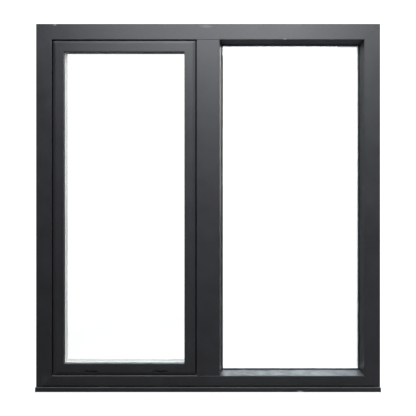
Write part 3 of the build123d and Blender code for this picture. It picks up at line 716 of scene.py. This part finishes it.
def ring_of_points(mesh, centre, radius, height, turn):
    """A closed loop of screw points that faces the room."""
    points = []
    for step in range(SCREW_ROUND):
        angle = turn + step * math.tau / SCREW_ROUND
        offset = Vector((math.cos(angle) * radius, height, math.sin(angle) * radius))
        points.append(mesh.verts.new(centre + offset))
    return points


def cross_of_points(mesh, centre, height, turn):
    """The outline of a cross recess at one height."""
    long, short = RECESS_REACH, RECESS_HALF_WIDTH
    points = []
    for quarter in range(4):
        swing = Matrix.Rotation(turn - quarter * math.pi / 2, 3, "Y")
        for x, z in ((short, short), (long, short), (long, -short)):
            points.append(mesh.verts.new(centre + swing @ Vector((x, height, z))))
    return points


def close_loop(mesh, points):
    """The edges of a closed loop of points."""
    return [mesh.edges.new((points[i - 1], points[i])) for i in range(len(points))]


def screw_head(mesh, centre, turn):
    """A crowned head with a cross recess, on a surface that faces the room."""
    seat = close_loop(mesh, ring_of_points(mesh, centre, SCREW_RADIUS, 0.0, turn))
    rim = close_loop(mesh, ring_of_points(mesh, centre, SCREW_RADIUS, SCREW_RIM, turn))
    crown = close_loop(mesh, ring_of_points(mesh, centre, SCREW_RADIUS * CROWN_SHARE, SCREW_CROWN, turn))
    lip = close_loop(mesh, cross_of_points(mesh, centre, SCREW_CROWN, turn))
    floor_points = cross_of_points(mesh, centre, RECESS_FLOOR, turn)
    floor = close_loop(mesh, floor_points)
    for first, second in ((seat, rim), (rim, crown), (crown, lip), (lip, floor)):
        bmesh.ops.bridge_loops(mesh, edges=first + second)
    mesh.faces.new(floor_points)


def hinge_screws():
    """Two screws in each leaf of both hinges."""
    mesh = bmesh.new()
    turn = FIRST_TURN
    for hinge in ("hinge_lower", "hinge_upper"):
        low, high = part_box(hinge)
        middle = (low.z + high.z) / 2
        for x, y in (
            (low.x + SCREW_FROM_END, low.y + LEAF_THICKNESS),
            (high.x - SCREW_FROM_END, high.y),
        ):
            for z in (middle - SCREW_FROM_MIDDLE, middle + SCREW_FROM_MIDDLE):
                screw_head(mesh, Vector((x, y, z)), turn)
                turn += NEXT_TURN
    bmesh.ops.recalc_face_normals(mesh, faces=mesh.faces)
    data = bpy.data.meshes.new("hinge_screws")
    mesh.to_mesh(data)
    mesh.free()
    screws = bpy.data.objects.new("hinge_screws", data)
    bpy.context.scene.collection.objects.link(screws)
    data.materials.append(satin_metal("plated_screw", SCREW_DARK, SCREW_LIGHT, roughness=0.28))
    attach(screws, "root")


# The studio: a pale floor that fades to white, a white surround and soft lamps
FLOOR_REACH = 12.0
FLOOR_BELOW = 0.0005
WHITE_GLOW = 1.3
FLOOR_GLOW_NEAR = 0.66
FLOOR_FADE = (0.9, 2.2)
SEEN_FLOOR = (0.90, 0.90, 0.90)
FLOOR_AS_LIGHT_IN_FRONT = (0.138, 0.138, 0.142)
FLOOR_AS_LIGHT_JUST_BEHIND = (0.09, 0.09, 0.095)
FLOOR_AS_LIGHT_BEHIND = (0.22, 0.22, 0.24)
FLOOR_FRONT_TO_BEHIND = (0.05, 0.25)
FLOOR_JUST_BEHIND_TO_BEHIND = (1.0, 1.9)

# Light of the surround by direction, for all but what the eye sees straight or through glass
AMBIENT_FRONT = 0.117
AMBIENT_BACK = 0.12
AMBIENT_BACK_ABOVE = 0.45
BRIGHTER_RIGHT = 8.5

# Parts of the surround, by the direction's X, Y or Z: each fades in from the first to the second
BEHIND_Y = (-0.25, 0.35)
ABOVE_Z = (-0.1, 0.35)
LOW_Z = (0.45, 0.25)
RIGHT_X = (0.06, 0.28)


def direct_view(tree):
    """One for a ray from the eye, also through glass; nought for light on the window."""
    path = node(tree, "LightPath")
    through = math_node(
        tree, "MAXIMUM", path.outputs["Is Camera Ray"], path.outputs["Is Transmission Ray"],
    )
    bounced = math_node(tree, "ADD", path.outputs["Diffuse Depth"], path.outputs["Glossy Depth"])
    return math_node(tree, "MULTIPLY", through, math_node(tree, "LESS_THAN", bounced, 0.5))


def pale_floor():
    """A large plain floor under the window."""
    mesh = bpy.data.meshes.new("studio_floor")
    corners = [(-1, -1), (1, -1), (1, 1), (-1, 1)]
    verts = [(x * FLOOR_REACH, y * FLOOR_REACH, -FLOOR_BELOW) for x, y in corners]
    mesh.from_pydata(verts, [], [(0, 1, 2, 3)])
    floor = bpy.data.objects.new("studio_floor", mesh)
    bpy.context.scene.collection.objects.link(floor)
    material, tree, shader, where = new_material("studio_floor")
    shader.inputs["Roughness"].default_value = 0.9
    seen = direct_view(tree)
    depth = node(tree, "SeparateXYZ", inputs={"Vector": where}).outputs["Y"]
    near = blend_colour(
        tree, remap(tree, depth, *FLOOR_FRONT_TO_BEHIND),
        FLOOR_AS_LIGHT_IN_FRONT, FLOOR_AS_LIGHT_JUST_BEHIND,
    )
    as_light = blend_colour(
        tree, remap(tree, depth, *FLOOR_JUST_BEHIND_TO_BEHIND), near, FLOOR_AS_LIGHT_BEHIND,
    )
    tree.links.new(blend_colour(tree, seen, as_light, SEEN_FLOOR), shader.inputs["Base Color"])
    away = node(tree, "VectorMath", operation="LENGTH")
    tree.links.new(where, away.inputs[0])
    far = remap(tree, away.outputs["Value"], *FLOOR_FADE, FLOOR_GLOW_NEAR, 1.0, smooth=True)
    glow = node(tree, "Emission", inputs={"Color": (1, 1, 1, 1), "Strength": WHITE_GLOW}).outputs[0]
    mixed = tree.nodes.new("ShaderNodeMixShader")
    tree.links.new(math_node(tree, "MULTIPLY", far, seen), mixed.inputs[0])
    tree.links.new(shader.outputs[0], mixed.inputs[1])
    tree.links.new(glow, mixed.inputs[2])
    tree.links.new(mixed.outputs[0], tree.nodes["Material Output"].inputs["Surface"])
    floor.data.materials.append(material)


def white_surround():
    """White to the eye; as light it is dim in front, brighter behind and most so on the right."""
    world = bpy.data.worlds.new("studio")
    bpy.context.scene.world = world
    world.use_nodes = True
    tree = world.node_tree
    background = tree.nodes["Background"]
    direction = node(tree, "TexCoord").outputs["Generated"]
    parts = node(tree, "SeparateXYZ", inputs={"Vector": direction})
    rise = remap(
        tree, parts.outputs["Z"], *ABOVE_Z, AMBIENT_BACK, AMBIENT_BACK_ABOVE, smooth=True,
    )
    low = remap(tree, parts.outputs["Z"], *LOW_Z)
    to_right = math_node(tree, "MULTIPLY", low, remap(tree, parts.outputs["X"], *RIGHT_X))
    gain = remap(tree, to_right, 0.0, 1.0, 1.0, BRIGHTER_RIGHT)
    rise = math_node(tree, "MULTIPLY", rise, gain)
    behind = remap(tree, parts.outputs["Y"], *BEHIND_Y, smooth=True)
    ambient = math_node(
        tree, "ADD", AMBIENT_FRONT,
        math_node(tree, "MULTIPLY", behind, math_node(tree, "SUBTRACT", rise, AMBIENT_FRONT)),
    )
    lift = math_node(
        tree, "MULTIPLY", direct_view(tree), math_node(tree, "SUBTRACT", WHITE_GLOW, ambient),
    )
    tree.links.new(math_node(tree, "ADD", ambient, lift), background.inputs["Strength"])
    background.inputs["Color"].default_value = (1, 1, 1, 1)


def soft_lamp(name, place_at, aim_at, width, height, radiance, tint, mirrored=True):
    """A rectangular soft lamp of even brightness; glass and gloss show it where mirrored."""
    lamp = bpy.data.lights.new(name, "AREA")
    lamp.shape = "RECTANGLE"
    lamp.size, lamp.size_y = width, height
    lamp.energy = radiance * math.pi * width * height
    lamp.color = tint
    holder = bpy.data.objects.new(name, lamp)
    bpy.context.scene.collection.objects.link(holder)
    holder.location = place_at
    aim = Vector(aim_at) - Vector(place_at)
    holder.rotation_euler = aim.to_track_quat("-Z", "Y").to_euler()
    holder.visible_camera = False
    holder.visible_glossy = mirrored
    holder.visible_transmission = mirrored


# Tints of the lamps
COOL = (0.93, 0.955, 1.0)
SKY = (0.80, 0.90, 1.0)
WARM = (1.0, 0.985, 0.96)


def studio_lamps():
    """A large key over the eye, a narrow fill beside it, a high lamp behind and two in the room."""
    soft_lamp(
        "key_lamp", place_at=(0.22, -2.03, 2.67), aim_at=(1.5, 0, 1.8),
        width=2.36, height=1.66, radiance=8.0, tint=COOL,
    )
    soft_lamp(
        "fill_lamp", place_at=(0.47, -1.5, 1.67), aim_at=(1.5, 0, 0.43),
        width=0.6, height=2.06, radiance=2.6, tint=COOL,
    )
    soft_lamp(
        "back_lamp", place_at=(0.8, 8.0, 5.9), aim_at=(0.4, 0, 0.2),
        width=5.0, height=3.2, radiance=5.9, tint=SKY,
    )
    soft_lamp(
        "room_lamp_right", place_at=(2.8, 0.9, 0.9), aim_at=(-0.5, 0, 0.75),
        width=1.6, height=2.0, radiance=6.0, tint=WARM, mirrored=False,
    )
    soft_lamp(
        "room_lamp_left", place_at=(-2.8, 1.6, 1.6), aim_at=(0.2, 0, 0.75),
        width=2.0, height=2.0, radiance=1.1, tint=WARM, mirrored=False,
    )


def camera():
    """Looks straight at the front, shifted so that the window sits as in the photograph."""
    data = bpy.data.cameras.new("camera")
    data.sensor_width = SENSOR
    data.lens = SENSOR * EYE_DISTANCE / (PIXEL_AT_FRONT * IMAGE_SIZE)
    middle = IMAGE_SIZE / 2
    data.shift_x = (middle - AXIS_PIXEL[0]) / IMAGE_SIZE
    data.shift_y = (AXIS_PIXEL[1] - middle) / IMAGE_SIZE
    eye = bpy.data.objects.new("camera", data)
    bpy.context.scene.collection.objects.link(eye)
    eye.location = (EYE_RIGHT, FRONT_Y - EYE_DISTANCE, EYE_HEIGHT)
    eye.rotation_euler = (math.pi / 2, 0, 0)
    bpy.context.scene.camera = eye


camera()
bpy.context.scene.view_settings.view_transform = "Standard"
pale_floor()
white_surround()
studio_lamps()
dress_cladding()
dress_timber()
dress_the_rest()
hinge_screws()
